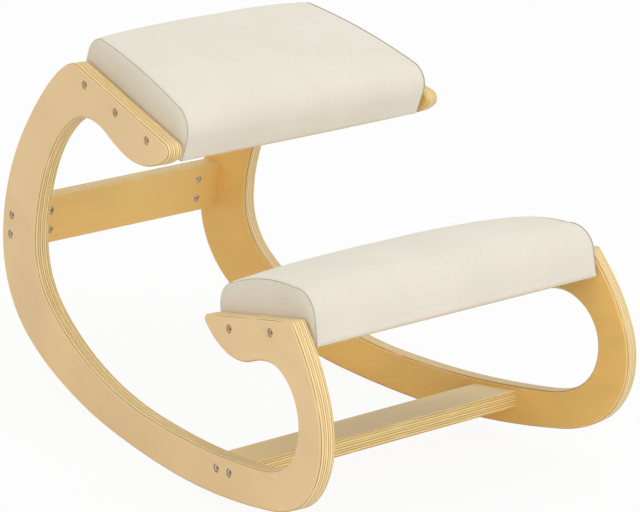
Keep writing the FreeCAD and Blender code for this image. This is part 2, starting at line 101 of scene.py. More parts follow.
class Shader:
    """The node tree of one material."""

    def __init__(self, name: str) -> None:
        """Start a material with a principled surface."""
        self.material = bpy.data.materials.new(name)
        self.material.use_nodes = True
        self.tree = self.material.node_tree
        self.surface = self.tree.nodes["Principled BSDF"]
        coordinates = self.tree.nodes.new("ShaderNodeTexCoord")
        self.place = coordinates.outputs["Object"]
        self.normal = self.tree.nodes.new("ShaderNodeNewGeometry").outputs["Normal"]

    def feed(self, value: object, socket: Socket) -> None:
        """Link a socket to another, or set its value.

        Args:
            value: an output socket, or a value for the input socket.
            socket: the input socket.
        """
        if isinstance(value, bpy.types.NodeSocket):
            self.tree.links.new(value, socket)
        else:
            socket.default_value = value

    def math(self, operation: str, *values: object, clamp: bool = False) -> Socket:
        """Add a math node.

        Args:
            operation: Blender's name of the operation.
            values: numbers or sockets, in the node's order.
            clamp: whether the result stays from 0 to 1.

        Returns:
            The node's output.
        """
        node = self.tree.nodes.new("ShaderNodeMath")
        node.operation = operation
        node.use_clamp = clamp
        for value, socket in zip(values, node.inputs):
            self.feed(value, socket)
        return node.outputs[0]

    def dot(self, vector: object, direction: Vector) -> Socket:
        """Length of a vector along a direction.

        Args:
            vector: the vector's socket.
            direction: a unit vector.

        Returns:
            The length's socket.
        """
        node = self.tree.nodes.new("ShaderNodeVectorMath")
        node.operation = "DOT_PRODUCT"
        self.feed(vector, node.inputs[0])
        self.feed(tuple(direction), node.inputs[1])
        return node.outputs["Value"]

    def combine(self, x: object, y: object, z: object) -> Socket:
        """Vector made of three numbers or sockets.

        Args:
            x: its first part.
            y: its second part.
            z: its third part.

        Returns:
            The vector's socket.
        """
        node = self.tree.nodes.new("ShaderNodeCombineXYZ")
        for value, socket in zip((x, y, z), node.inputs):
            self.feed(value, socket)
        return node.outputs[0]

    def noise(self, vector: object, scale: float, detail: float = 2.0) -> Socket:
        """Soft noise from 0 to 1.

        Args:
            vector: where it is read.
            scale: how many of its features lie in a unit.
            detail: how many finer layers it has.

        Returns:
            The noise's value.
        """
        node = self.tree.nodes.new("ShaderNodeTexNoise")
        self.feed(vector, node.inputs["Vector"])
        node.inputs["Scale"].default_value = scale
        node.inputs["Detail"].default_value = detail
        return node.outputs[0]

    def step(self, value: object, low: float, high: float) -> Socket:
        """Smooth rise from 0 to 1.

        Args:
            value: the number or socket that it follows.
            low: where it is 0.
            high: where it is 1.

        Returns:
            The rise's socket.
        """
        node = self.tree.nodes.new("ShaderNodeMapRange")
        node.interpolation_type = "SMOOTHSTEP"
        self.feed(value, node.inputs["Value"])
        node.inputs["From Min"].default_value = low
        node.inputs["From Max"].default_value = high
        return node.outputs["Result"]

    def mix(self, share: object, first: object, second: object) -> Socket:
        """Blend of two colours, each a tone or a socket.

        Args:
            share: how much of the second colour there is.
            first: the colour at 0.
            second: the colour at 1.

        Returns:
            The colour's socket.
        """
        node = self.tree.nodes.new("ShaderNodeMix")
        node.data_type = "RGBA"
        self.feed(share, node.inputs[0])
        for value, socket in ((first, node.inputs[6]), (second, node.inputs[7])):
            self.feed(value.linear() if isinstance(value, Tone) else value, socket)
        return node.outputs[2]

    def bump(self, height: object, depth: float, strength: float = 1.0) -> None:
        """Raise the surface in its shading.

        Args:
            height: a height from 0 to 1.
            depth: what a height of 1 stands for, in metres.
            strength: how much of the relief shows.
        """
        node = self.tree.nodes.new("ShaderNodeBump")
        self.feed(height, node.inputs["Height"])
        node.inputs["Distance"].default_value = depth
        node.inputs["Strength"].default_value = strength
        self.tree.links.new(node.outputs[0], self.surface.inputs["Normal"])

    def finish(self, colour: object, roughness: object, **settings: float) -> bpy.types.Material:
        """Set the surface's sockets.

        Args:
            colour: a tone or a socket.
            roughness: a number or a socket.
            settings: other sockets, with underscores in place of spaces.

        Returns:
            The material.
        """
        tone = colour.linear() if isinstance(colour, Tone) else colour
        self.feed(tone, self.surface.inputs["Base Color"])
        self.feed(roughness, self.surface.inputs["Roughness"])
        for name, value in settings.items():
            self.surface.inputs[name.replace("_", " ")].default_value = value
        return self.material


@dataclass(frozen=True)
class PlyFinish:
    """Lacquered plywood: two face veneers, and edges that show the plies and their glue."""

    name: str
    outer: Tone
    inner: Tone
    edge: Tone
    dark_ply: Tone
    glue: Tone
    thickness: float = 22 * MM
    skin: float = 1.7 * MM
    plies: int = 6
    glue_width: float = 0.11
    skin_fade: float = 0.7
    skin_share: float = 0.7
    face_turn: tuple[float, float] = (0.90, 0.985)
    relief: float = 0.06 * MM
    fine_scale: float = 900.0
    fine_stretch: float = 0.045
    fine_share: float = 0.34
    flame_scale: float = 28.0
    flame_stretch: float = 0.22
    flame_share: float = 0.30
    cloud_scale: float = 9.0
    cloud_share: float = 0.6
    fibre_scale: float = 700.0
    fibre_stretch: float = 0.3
    fibre_share: float = 0.35
    sweep_scale: float = 14.0
    sweep_depth: float = 0.5 * MM
    patch_scale: float = 22.0
    dark_share: float = 0.55
    glue_share: float = 0.90

    def material(self, origin: Vector, inward: Vector, grain: Vector) -> bpy.types.Material:
        """Make the finish for one board.

        Args:
            origin: a point on the board's outer face.
            inward: unit vector from the outer face into the board.
            grain: unit vector along the face veneers' grain.

        Returns:
            The material.
        """
        shader = Shader(self.name)
        across = inward.cross(grain).normalized()
        depth = shader.math("SUBTRACT", shader.dot(shader.place, inward), origin.dot(inward))
        along = shader.dot(shader.place, grain)
        side = shader.dot(shader.place, across)
        face, streak = self.veneer(shader, along, side, depth)
        edge, line = self.layers(shader, along, side, depth)
        is_face = self.face_share(shader, inward, depth)
        colour = shader.mix(is_face, edge, face)
        raised = shader.math("MULTIPLY", streak, is_face)
        sunk = shader.math("MULTIPLY", line, shader.math("SUBTRACT", 1.0, is_face))
        shader.bump(shader.math("SUBTRACT", raised, sunk), self.relief)
        roughness = shader.math("MULTIPLY_ADD", streak, 0.12, 0.40)
        return shader.finish(colour, roughness, Coat_Weight=0.18, Coat_Roughness=0.32)

    def face_share(self, shader: Shader, inward: Vector, depth: Socket) -> Socket:
        """How much the face veneer shows, from 0 on a sawn edge to 1 on a face.

        Args:
            shader: the material's tree.
            inward: unit vector from the outer face into the board.
            depth: distance from the outer face.

        Returns:
            The share's socket.
        """
        half = self.thickness / 2
        facing = shader.math("ABSOLUTE", shader.dot(shader.normal, inward))
        from_middle = shader.math("ABSOLUTE", shader.math("SUBTRACT", depth, half))
        in_skin = shader.step(from_middle, half - self.skin, half - self.skin_fade * self.skin)
        on_face = shader.step(facing, *self.face_turn)
        return shader.math("MAXIMUM", on_face, shader.math("MULTIPLY", in_skin, self.skin_share))

    def veneer(self, shader: Shader, along: Socket, side: Socket, depth: Socket) -> tuple[Socket, Socket]:
        """Face veneer with fine grain, soft flames and cloudy patches.

        Args:
            shader: the material's tree.
            along: distance along the grain.
            side: distance across the grain, in the face.
            depth: distance from the outer face.

        Returns:
            The colour and the grain's streaks.
        """
        fine_place = shader.combine(shader.math("MULTIPLY", along, self.fine_stretch), side, depth)
        streak = shader.noise(fine_place, self.fine_scale, 3.0)
        flame_place = shader.combine(shader.math("MULTIPLY", along, self.flame_stretch), side, 0.0)
        flame = shader.noise(flame_place, self.flame_scale, 2.0)
        cloud = shader.noise(shader.combine(along, side, 0.0), self.cloud_scale, 1.0)
        is_inner = shader.step(depth, self.thickness * 0.45, self.thickness * 0.55)
        base = shader.mix(is_inner, self.outer, self.inner)
        lighter = shader.mix(is_inner, self.outer.shaded(1.05), self.inner.shaded(1.06))
        darker = shader.mix(is_inner, self.outer.shaded(0.93), self.inner.shaded(0.92))
        cloudy = shader.math("MULTIPLY", shader.step(cloud, 0.35, 0.75), self.cloud_share)
        clouded = shader.mix(cloudy, base, lighter)
        flaming = shader.math("MULTIPLY", shader.step(flame, 0.48, 0.78), self.flame_share)
        flamed = shader.mix(flaming, clouded, darker)
        streaky = shader.math("MULTIPLY", shader.step(streak, 0.52, 0.80), self.fine_share)
        return shader.mix(streaky, flamed, darker), streak

    def layers(self, shader: Shader, along: Socket, side: Socket, depth: Socket) -> tuple[Socket, Socket]:
        """Plies in turn lighter and darker, with thin glue lines of uneven strength.

        Args:
            shader: the material's tree.
            along: distance along the grain.
            side: distance across the grain, in the face.
            depth: distance from the outer face.

        Returns:
            The colour and the glue lines' mask.
        """
        sweep = shader.noise(shader.combine(along, side, depth), self.sweep_scale, 2.0)
        wavy = shader.math("MULTIPLY_ADD", shader.math("SUBTRACT", sweep, 0.5), self.sweep_depth, depth)
        layer = shader.math("MULTIPLY", shader.math("SUBTRACT", wavy, self.skin),
                            self.plies / (self.thickness - 2 * self.skin))
        turn = shader.math("FRACT", shader.math("MULTIPLY", layer, 0.5))
        is_dark = shader.math("GREATER_THAN", turn, 0.5)
        within = shader.math("ABSOLUTE", shader.math("SUBTRACT", shader.math("FRACT", layer), 0.5))
        near_line = shader.step(within, 0.5 - self.glue_width * 1.6, 0.5 - self.glue_width * 0.4)
        number = shader.math("FLOOR", shader.math("ADD", layer, 0.5))
        uneven = shader.noise(shader.combine(shader.math("MULTIPLY", number, 3.7), 0.0, 0.0), 1.3, 0.0)
        patch_place = shader.combine(along, side, shader.math("MULTIPLY", number, 0.4))
        patch = shader.noise(patch_place, self.patch_scale, 2.0)
        strength = shader.math("MULTIPLY", shader.step(uneven, 0.20, 0.52), shader.step(patch, 0.15, 0.50))
        line = shader.math("MULTIPLY", near_line, strength)
        fibre_place = shader.combine(shader.math("MULTIPLY", along, self.fibre_stretch), side, depth)
        fibre = shader.noise(fibre_place, self.fibre_scale, 2.0)
        ply = shader.mix(shader.math("MULTIPLY", is_dark, self.dark_share), self.edge, self.dark_ply)
        fibrous = shader.math("MULTIPLY", shader.step(fibre, 0.45, 0.85), self.fibre_share)
        fibred = shader.mix(fibrous, ply, self.dark_ply)
        return shader.mix(shader.math("MULTIPLY", line, self.glue_share), fibred, self.glue), line


@dataclass(frozen=True)
class ClothFinish:
    """Plain woven upholstery cloth."""

    name: str
    tone: Tone
    worn: Tone
    pitch: float = 0.9 * MM
    thread_run: float = 0.12
    depth: float = 0.14 * MM
    sheen: float = 0.25
    roughness: float = 0.86
    slub_scale: float = 420.0
    cloud_scale: float = 11.0
    # How much painted shade the weave's low places get, and how much it darkens the cloth.
    valley_share: float = 0.14
    valley_shade: float = 0.88

    def material(self, along: Vector, up: Vector) -> bpy.types.Material:
        """Make the finish for one pad.

        Args:
            along: unit vector along the pad's warp.
            up: unit vector square to its top.

        Returns:
            The material.
        """
        shader = Shader(self.name)
        across = Vector((1, 0, 0))
        stand = shader.dot(shader.place, up)
        threads = []
        for way, spread in ((across, along), (along, across)):
            run = shader.math("MULTIPLY", shader.dot(shader.place, way), self.thread_run)
            place = shader.combine(run, shader.dot(shader.place, spread), stand)
            threads.append(shader.noise(place, 1 / self.pitch, 1.0))
        weave = shader.math("MULTIPLY", shader.math("ADD", threads[0], threads[1]), 0.5)
        slub = shader.noise(shader.place, self.slub_scale, 3.0)
        cloud = shader.noise(shader.place, self.cloud_scale, 2.0)
        height = shader.math("MULTIPLY", shader.math("ADD", weave, slub), 0.5)
        shader.bump(height, self.depth, 0.7)
        clouded = shader.mix(shader.step(cloud, 0.30, 0.75), self.tone, self.worn)
        # Painted shade: the weave's low places get a darker tone of the cloth.
        valley_painted_shade = shader.math("MULTIPLY", shader.step(height, 0.56, 0.40), self.valley_share)
        colour = shader.mix(valley_painted_shade, clouded, self.worn.shaded(self.valley_shade))
        return shader.finish(colour, self.roughness, Sheen_Weight=self.sheen, Sheen_Roughness=0.45,
                             Specular_IOR_Level=0.25)


@dataclass(frozen=True)
class SteelFinish:
    """Zinc-plated steel with fine turning marks."""

    name: str
    tone: Tone
    dull: Tone
    roughness: float = 0.34
    speck_scale: float = 2600.0
    speck_depth: float = 0.03 * MM
    stain_scale: float = 160.0

    def material(self) -> bpy.types.Material:
        """Make the finish.

        Returns:
            The material.
        """
        shader = Shader(self.name)
        speck = shader.noise(shader.place, self.speck_scale, 3.0)
        stain = shader.noise(shader.place, self.stain_scale, 2.0)
        colour = shader.mix(shader.step(stain, 0.35, 0.75), self.tone, self.dull)
        shader.bump(speck, self.speck_depth, 0.6)
        rough = shader.math("MULTIPLY_ADD", speck, 0.18, self.roughness - 0.08)
        return shader.finish(colour, rough, Metallic=0.55)


SIDE_PLY = PlyFinish("side_frame_plywood", Tone(227, 194, 142), Tone(236, 190, 104), Tone(250, 222, 160),
                     Tone(232, 194, 126), Tone(112, 72, 32))
# The bars' plywood is the same birch ply in lighter tones than the side frames': painted light that stands
# in for the light missing in the pads' shade.
BAR_PLY_PAINTED_LIGHT = PlyFinish("crossbar_plywood", Tone(252, 208, 124), Tone(254, 222, 160), Tone(255, 226, 152),
                    Tone(240, 198, 122), Tone(104, 66, 28))
BOARD_PLY = PlyFinish("pad_board_plywood", Tone(206, 172, 122), Tone(200, 164, 112), Tone(226, 196, 146),
                      Tone(196, 154, 100), Tone(132, 92, 52), thickness=10 * MM, plies=4)
PINE = PlyFinish("pad_rail_pine", Tone(226, 196, 146), Tone(226, 196, 146), Tone(222, 190, 138),
                 Tone(206, 168, 112), Tone(190, 148, 92), thickness=24 * MM)
CREAM_CLOTH = ClothFinish("cream_cover_cloth", Tone(233, 226, 211), Tone(229, 222, 206))
# The side panels' cloth is the cream cloth in greyer tones: painted shade of the sides that face away from
# the light.
PANEL_CLOTH_PAINTED_SHADE = ClothFinish("cream_panel_cloth", Tone(221, 212, 194), Tone(215, 206, 187))
# The seam is the cream cloth too; its dark tone is painted shade of the groove it lies in.
SEAM_CLOTH_PAINTED_SHADE = ClothFinish("cream_seam_cloth", Tone(178, 170, 153), Tone(168, 160, 143), pitch=0.7 * MM)
DUST_CLOTH = ClothFinish("black_dust_cloth", Tone(38, 38, 40), Tone(48, 48, 50), sheen=0.1)
ZINC = SteelFinish("zinc_plated_steel", Tone(222, 218, 208), Tone(186, 180, 168))


@dataclass(frozen=True)
class Drawing:
    """The chair's drawing sizes, and the way from its drawing to the row frame."""

    front_width: float = 550 * MM
    ply: float = 22 * MM
    splay: float = math.radians(8.5)
    tip: float = math.radians(10.4)
    anchor_u: float = 612 * MM
    anchor_v: float = 235 * MM

    def tipped(self, y: float, z: float) -> Place:
        """Turn a drawn (Y, Z) back by the chair's tip."""
        return (y * math.cos(self.tip) + z * math.sin(self.tip),
                z * math.cos(self.tip) - y * math.sin(self.tip))

    def shift(self) -> Place:
        """How far (Y, Z) moves after the tip, from the mount that the record gives on the frame.

        Returns:
            The move along Y and along Z.
        """
        mounts = {mount["name"]: mount["pos_m"] for mount in frame["record"]["mounts"]}
        y, z = self.tipped(self.anchor_u * math.cos(self.splay), self.anchor_v)
        anchor = mounts["right_frame_face"]
        return anchor[1] - y, anchor[2] - z

    def beside(self, u: float, v: float) -> tuple[float, float, float]:
        """Where a place of the side frames' drawing lies in the row frame.

        Args:
            u: the place's distance rearward in the frame's own plane.
            v: its height on the drawing.

        Returns:
            Half the width between the frames' inner faces there, and (Y, Z).
        """
        half = self.front_width / 2 - u * math.sin(self.splay) - self.ply * math.cos(self.splay)
        y, z = self.tipped(u * math.cos(self.splay) - self.ply * math.sin(self.splay), v)
        dy, dz = self.shift()
        return half, y + dy, z + dz

    def from_frames(self, point: Vector) -> float:
        """Distance of a point from the nearer inner face of the two side frames.

        Args:
            point: the point, in the row frame.

        Returns:
            The distance, in metres.
        """
        distances = []
        for mount in frame["record"]["mounts"]:
            if mount["name"].endswith("_frame_face"):
                distances.append((Vector(mount["pos_m"]) - point).dot(Vector(mount["axis"])) - self.ply)
        return min(distances)


DRAWING = Drawing()


@dataclass(frozen=True)
class Arm:
    """The straight top edge of an arm: where it starts on the drawing, and how steeply it runs."""

    u: float
    v: float
    slope: float

    def place(self, a: float, b: float) -> tuple[float, float, float]:
        """Where a place beside the edge lies in the row frame.

        Args:
            a: distance along the edge.
            b: distance above it.

        Returns:
            Half the width between the frames' inner faces there, and (Y, Z).
        """
        u = self.u + a * math.cos(self.slope) - b * math.sin(self.slope)
        v = self.v + a * math.sin(self.slope) + b * math.cos(self.slope)
        return DRAWING.beside(u, v)

    def ways(self) -> tuple[Vector, Vector]:
        """Unit vectors along the edge and square to it, in the chair's middle plane."""
        start, along, up = (Vector((0, *self.place(a, b)[1:])) for a, b in ((0, 0), (1, 0), (0, 1)))
        return (along - start).normalized(), (up - start).normalized()


def add_piece(name: str, mesh: bpy.types.Mesh, material: bpy.types.Material) -> bpy.types.Object:
    """Add a piece that rides on the chair.

    Args:
        name: the piece's name.
        mesh: its mesh, in the row frame.
        material: its finish.

    Returns:
        The piece.
    """
    piece = bpy.data.objects.new(name, mesh)
    bpy.context.scene.collection.objects.link(piece)
    mesh.materials.append(material)
    mesh.polygons.foreach_set("use_smooth", [True] * len(mesh.polygons))
    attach(piece, "root")
    LOG.info("made %s with %d faces", name, len(mesh.polygons))
    return piece


def dress(node: str, material: bpy.types.Material) -> None:
    """Give a CAD node its finish.

    Args:
        node: the node's name.
        material: its finish.
    """
    piece = frame["nodes"][node]
    if not piece.material_slots:
        piece.data.materials.append(material)
    for place in piece.material_slots:
        place.material = material
    LOG.info("dressed %s with %s", node, material.name)


def mesh_of(name: str, points: Iterable[Vector], faces: Iterable[tuple[int, ...]],
            merge: float = 0.02 * MM) -> bpy.types.Mesh:
    """Mesh with its faces turned outward.

    Args:
        name: the mesh's name.
        points: its points.
        faces: its faces, as numbers of points.
        merge: how near doubled points lie that are merged, or 0 to keep every point.

    Returns:
        The mesh.
    """
    form = bmesh.new()
    made = [form.verts.new(point) for point in points]
    for face in faces:
        form.faces.new([made[i] for i in face])
    if merge:
        bmesh.ops.remove_doubles(form, verts=form.verts, dist=merge)
    bmesh.ops.recalc_face_normals(form, faces=form.faces)
    mesh = bpy.data.meshes.new(name)
    form.to_mesh(mesh)
    form.free()
    return mesh


@dataclass
class SideFrames:
    """The two one-piece plywood side frames."""

    grain_angle: float = math.radians(28)

    def build(self) -> None:
        """Dress both frames, each with plies that follow its own splayed faces."""
        mounts = {mount["name"]: mount for mount in frame["record"]["mounts"]}
        for side in Side:
            mount = mounts[f"{side.word}_frame_face"]
            inward = -Vector(mount["axis"]).normalized()
            level = inward.cross(Vector((0, 0, 1))).normalized() * side.value
            upward = inward.cross(level).normalized()
            grain = level * math.cos(self.grain_angle) + upward * math.sin(self.grain_angle)
            dress(f"side_frame_{side.word}", SIDE_PLY.material(Vector(mount["pos_m"]), inward, grain))


@dataclass
class CrossMembers:
    """The rear crossbar and the front stretcher."""

    crossbar_tilt: float = math.radians(8.0) - DRAWING.tip
    stretcher_tilt: float = math.radians(90.0) - DRAWING.tip

    def build(self) -> None:
        """Dress each bar with plies along its wide faces."""
        for node, tilt in (("rear_crossbar", self.crossbar_tilt), ("front_stretcher", self.stretcher_tilt)):
            inward = Vector((0, math.cos(tilt), math.sin(tilt)))
            low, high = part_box(node)
            origin = (low + high) / 2 - inward * BAR_PLY_PAINTED_LIGHT.thickness / 2
            # Both bars take the plywood lightened as painted light.
            dress(node, BAR_PLY_PAINTED_LIGHT.material(origin, inward, Vector((1, 0, 0))))


@dataclass(frozen=True)
class Inflation:
    """Pressure of the foam on a sewn cover, worked out as cloth that is blown up."""

    voxel: float = 6 * MM
    pressure: float = 4.0
    last_frame: int = 20
    cap: float = 2.5 * MM
    neighbours: int = 6

    def swell(self, mesh: bpy.types.Mesh, is_held: Callable[[Vector], bool]) -> None:
        """Move a closed mesh's points as far as its cloth swells.

        Args:
            mesh: the sewn form, which keeps its seams.
            is_held: whether the cloth is held at a point.
        """
        scene = bpy.context.scene
        piece = bpy.data.objects.new("swelling_cloth", mesh.copy())
        scene.collection.objects.link(piece)
        remesh = piece.modifiers.new("even", "REMESH")
        remesh.mode = "VOXEL"
        remesh.voxel_size = self.voxel
        even = self.evaluated(piece)
        piece.modifiers.clear()
        piece.data = even
        held = piece.vertex_groups.new(name="held")
        held.add([vertex.index for vertex in even.vertices if is_held(vertex.co)], 1.0, "REPLACE")
        cloth = piece.modifiers.new("cloth", "CLOTH")
        cloth.settings.use_pressure = True
        cloth.settings.uniform_pressure_force = self.pressure
        cloth.settings.effector_weights.gravity = 0
        cloth.settings.vertex_group_mass = "held"
        cloth.point_cache.frame_start = 1
        cloth.point_cache.frame_end = self.last_frame
        for number in range(1, self.last_frame + 1):
            scene.frame_set(number)
        swollen = self.evaluated(piece)
        self.carry_over(mesh, even, swollen)
        bpy.data.objects.remove(piece)
        scene.frame_set(1)

    def evaluated(self, piece: bpy.types.Object) -> bpy.types.Mesh:
        """The piece's mesh as its modifiers leave it."""
        return bpy.data.meshes.new_from_object(piece.evaluated_get(bpy.context.evaluated_depsgraph_get()))

    def carry_over(self, mesh: bpy.types.Mesh, even: bpy.types.Mesh, swollen: bpy.types.Mesh) -> None:
        """Give a mesh the moves of the cloth near each of its points, limited by the cap.

        Args:
            mesh: the mesh that is moved.
            even: the cloth before it swells.
            swollen: the same cloth afterwards.
        """
        tree = KDTree(len(even.vertices))
        for vertex in even.vertices:
            tree.insert(vertex.co, vertex.index)
        tree.balance()
        furthest = 0.0
        normals = [vertex.normal.copy() for vertex in mesh.vertices]
        for vertex, normal in zip(mesh.vertices, normals):
            total, weights = Vector(), 0.0
            for place, index, distance in tree.find_n(vertex.co, self.neighbours):
                weight = 1 / (distance + self.voxel) ** 2
                total += (swollen.vertices[index].co - place) * weight
                weights += weight
            outward = max(0.0, (total / weights).dot(normal))
            furthest = max(furthest, outward)
            vertex.co += normal * self.cap * (1 - math.exp(-outward / self.cap))
        LOG.info("cloth of %s swelled by up to %.1f mm before its cap", mesh.name, furthest / MM)


@dataclass(frozen=True)
class Crease:
    """A short soft crease in a cover's top: where it runs, how deep and how wide it is."""

    x: float
    a: float
    angle: float
    length: float
    depth: float
    width: float

    def depth_at(self, x: float, a: float) -> float:
        """How deep the crease is at a place on the top.

        Args:
            x: the place's X.
            a: its distance along the arm.

        Returns:
            The depth, in metres.
        """
        dx, da = x - self.x, a - self.a
        along = dx * math.cos(self.angle) + da * math.sin(self.angle)
        across = da * math.cos(self.angle) - dx * math.sin(self.angle)
        return self.depth * math.exp(-(along / self.length) ** 2 - (across / self.width) ** 2)


@dataclass
class Pad:
    """An upholstered pad: a crowned cushion, its seams, its dust cover and what is inside."""

    name: str
    arm: Arm
    front: float
    rear: float
    bottom: float
    shoulder: float
    arch: float
    front_radius: float
    rear_radius: float
    crown: float
    seam_inset: float
    creases: list[Crease] = field(default_factory=list)
    toe_radius: float = 5 * MM
    spacing: float = 2.6 * MM
    arch_steps: int = 24
    stations: int = 40
    station_power: float = 1.9
    rise_power: int = 3
    puff: float = 1.5 * MM
    roll: float = 1.6 * MM
    roll_width: float = 4.0 * MM
    ridge: float = 0.35 * MM
    ridge_place: float = 6.5 * MM
    ridge_width: float = 1.4 * MM
    ripple: float = 0.5 * MM
    ripple_start: float = 12 * MM
    underside_from: float = -0.5
    panel_gap: float = 0.6 * MM
    panel_end: float = 30 * MM
    bulge_width: float = 6 * MM
    bulge_power: float = 1.2
    seam_radius: float = 0.55 * MM
    seam_sides: int = 6
    seam_sink: float = 0.72
    seam_proud: float = 0.25 * MM
    dust_inset: float = 10 * MM
    dust_gap: float = 0.3 * MM
    dust_thickness: float = 0.8 * MM
    dust_grid: tuple[int, int] = (32, 16)
    dust_pucker: float = 0.25 * MM
    staple_crown: float = 10 * MM
    staple_wire: float = 0.7 * MM
    staple_inset: float = 4 * MM
    staple_pitch: float = 42 * MM
    held_margin: float = 5 * MM
    panel_depths: tuple[float, ...] = (0.94, 0.75, 0.5, 0.3, 0.17, 0.09, 0.04, 0.015)
    air: Inflation = Inflation()

    def outline(self) -> list[Place]:
        """Side profile as (a, b), in evenly spaced points from the rear of the underside.

        Returns:
            The closed profile's points.
        """
        toe = self.toe_radius
        corners = [
            (self.front + toe, self.bottom + toe, toe, 270, 180),
            (self.front + self.front_radius, self.shoulder - self.front_radius, self.front_radius, 180, 90),
            (self.rear - self.rear_radius, self.shoulder - self.rear_radius, self.rear_radius, 90, 0),
            (self.rear - toe, self.bottom + toe, toe, 0, -90),
        ]
        rough: list[Place] = []
        for number, (a, b, radius, first, last) in enumerate(corners):
            steps = max(4, round(radius * math.pi / 2 / self.spacing))
            for i in range(steps + 1):
                angle = math.radians(first + (last - first) * i / steps)
                rough.append((a + radius * math.cos(angle), b + radius * math.sin(angle)))
            if number == 1:
                rough += self.arched_top()
        return self.evened(rough + rough[:1])

    def arched_top(self) -> list[Place]:
        """Points along the domed top, between its corners.

        Returns:
            The points as (a, b), from the front.
        """
        start = self.front + self.front_radius
        end = self.rear - self.rear_radius
        points = []
        for i in range(1, self.arch_steps):
            share = i / self.arch_steps
            rise = self.arch * (1 - (2 * share - 1) ** 2)
            points.append((start + (end - start) * share, self.shoulder + rise))
        return points

    def evened(self, path: list[Place]) -> list[Place]:
        """The same closed path in evenly spaced points.

        Args:
            path: the path, whose last point is its first.

        Returns:
            The new points, without the last.
        """
        lengths = [math.dist(p, q) for p, q in zip(path, path[1:])]
        total = sum(lengths)
        count = round(total / self.spacing)
        points, walked, index = [], 0.0, 0
        for i in range(count):
            target = total * i / count
            while walked + lengths[index] < target:
                walked += lengths[index]
                index += 1
            share = (target - walked) / lengths[index]
            p, q = path[index], path[index + 1]
            points.append((p[0] + (q[0] - p[0]) * share, p[1] + (q[1] - p[1]) * share))
        return points

    def normals(self, outline: list[Place]) -> list[Place]:
        """Outward direction of the profile at each of its points.

        Args:
            outline: the profile's points.

        Returns:
            A unit vector (a, b) for each point.
        """
        found = []
        for i in range(len(outline)):
            before, after = outline[i - 1], outline[(i + 1) % len(outline)]
            da, db = after[0] - before[0], after[1] - before[1]
            length = math.hypot(da, db)
            found.append((-db / length, da / length))
        return found

    def point(self, a: float, b: float, side: int, distance: float, share: float = 0.0) -> Vector:
        """Point of the pad in the row frame.

        Args:
            a: place along the arm.
            b: place above the arm.
            side: sign of X.
            distance: how far in from the frame's inner face.
            share: how much of what is left to the middle is gone too.

        Returns:
            The point.
        """
        half, y, z = self.arm.place(a, b)
        return Vector((side * (half - distance) * (1 - share), y, z))

    def band_point(self, place: Place, out: Place, side: int, station: float) -> Vector:
        """Point of the band that wraps the front, top and rear.

        Args:
            place: the profile's point.
            out: the profile's outward direction there.
            side: sign of X.
            station: 0 at the seam and 1 in the middle.

        Returns:
            The point.
        """
        eased = station ** self.station_power
        half = self.arm.place(*place)[0] - self.seam_inset
        from_seam = half * eased
        x = side * (half - from_seam)
        rise = 1 - (1 - eased) ** self.rise_power
        swell = self.puff * rise
        swell -= self.roll * math.exp(-(from_seam / self.roll_width) ** 2)
        swell += self.ridge * math.exp(-((from_seam - self.ridge_place) / self.ridge_width) ** 2)
        upward = max(0.0, out[1])
        for crease in self.creases:
            swell -= crease.depth_at(x, place[0]) * upward
        wave = noise.noise(Vector((x * 22, place[0] * 30, place[1] * 30)))
        swell += self.ripple * wave * min(1.0, from_seam / self.ripple_start)
        if out[1] < self.underside_from:
            swell = 0.0
        a = place[0] + out[0] * swell
        b = place[1] + out[1] * swell + self.crown * rise * upward
        return self.point(a, b, side, self.seam_inset, eased)

    def panel_point(self, place: Place, side: int, depth: float) -> Vector:
        """Point of the side panel that faces the frame.

        Args:
            place: the profile's point that it belongs to.
            side: sign of X.
            depth: 0 at the seam and 1 on the panel's middle line.

        Returns:
            The point.
        """
        middle_b = self.bottom / 2
        middle_a = min(max(place[0], self.front + self.panel_end), self.rear - self.panel_end)
        a = place[0] + (middle_a - place[0]) * depth
        b = place[1] + (middle_b - place[1]) * depth
        from_seam = math.dist(place, (a, b))
        bulge = 1 - math.exp(-(from_seam / self.bulge_width) ** self.bulge_power)
        wrinkle = (0.5 + 0.5 * noise.noise(Vector((a * 40, b * 70, side * 5.0)))) * 0.8 * MM * bulge
        distance = self.seam_inset - (self.seam_inset - self.panel_gap) * bulge
        return self.point(a, b, side, distance + wrinkle)

    def cushion(self) -> bpy.types.Mesh:
        """The cushion as one closed form, with its seams drawn in.

        Returns:
            The mesh.
        """
        outline = self.outline()
        out = self.normals(outline)
        rings: list[list[Vector]] = []
        for depth in self.panel_depths:
            rings.append([self.panel_point(place, -1, depth) for place in outline])
        steps = [i / self.stations for i in range(self.stations + 1)]
        for station in steps:
            rings.append([self.band_point(p, o, -1, station) for p, o in zip(outline, out)])
        for station in reversed(steps[:-1]):
            rings.append([self.band_point(p, o, 1, station) for p, o in zip(outline, out)])
        for depth in reversed(self.panel_depths):
            rings.append([self.panel_point(place, 1, depth) for place in outline])
        count = len(outline)
        points = [point for ring in rings for point in ring]
        faces = []
        for row in range(len(rings) - 1):
            for i in range(count):
                j = (i + 1) % count
                near, far = row * count, (row + 1) * count
                faces.append((near + i, near + j, far + j, far + i))
        faces += [tuple(range(count)), tuple(range(len(points) - count, len(points)))]
        mesh = mesh_of(f"{self.name}_cushion", points, faces, merge=0.0)
        panel_rows = len(self.panel_depths)
        for number, polygon in enumerate(mesh.polygons):
            row = number // count
            # The side panels' rows take the second slot, the cloth greyed as painted shade.
            polygon.material_index = int(row < panel_rows or row >= len(rings) - 1 - panel_rows)
        return mesh

    def is_held(self, point: Vector) -> bool:
        """Whether the cover is stapled, sewn or pressed against a frame at a point.

        Args:
            point: the point, in the row frame.

        Returns:
            True where it can't swell.
        """
        _, y, z = self.arm.place(0, 0)
        along, _ = self.arm.ways()
        height = (point - Vector((0, y, z))).dot(along.cross(Vector((-1, 0, 0))))
        near_frame = DRAWING.from_frames(point) < self.seam_inset + self.held_margin
        return near_frame or height < self.bottom + self.held_margin

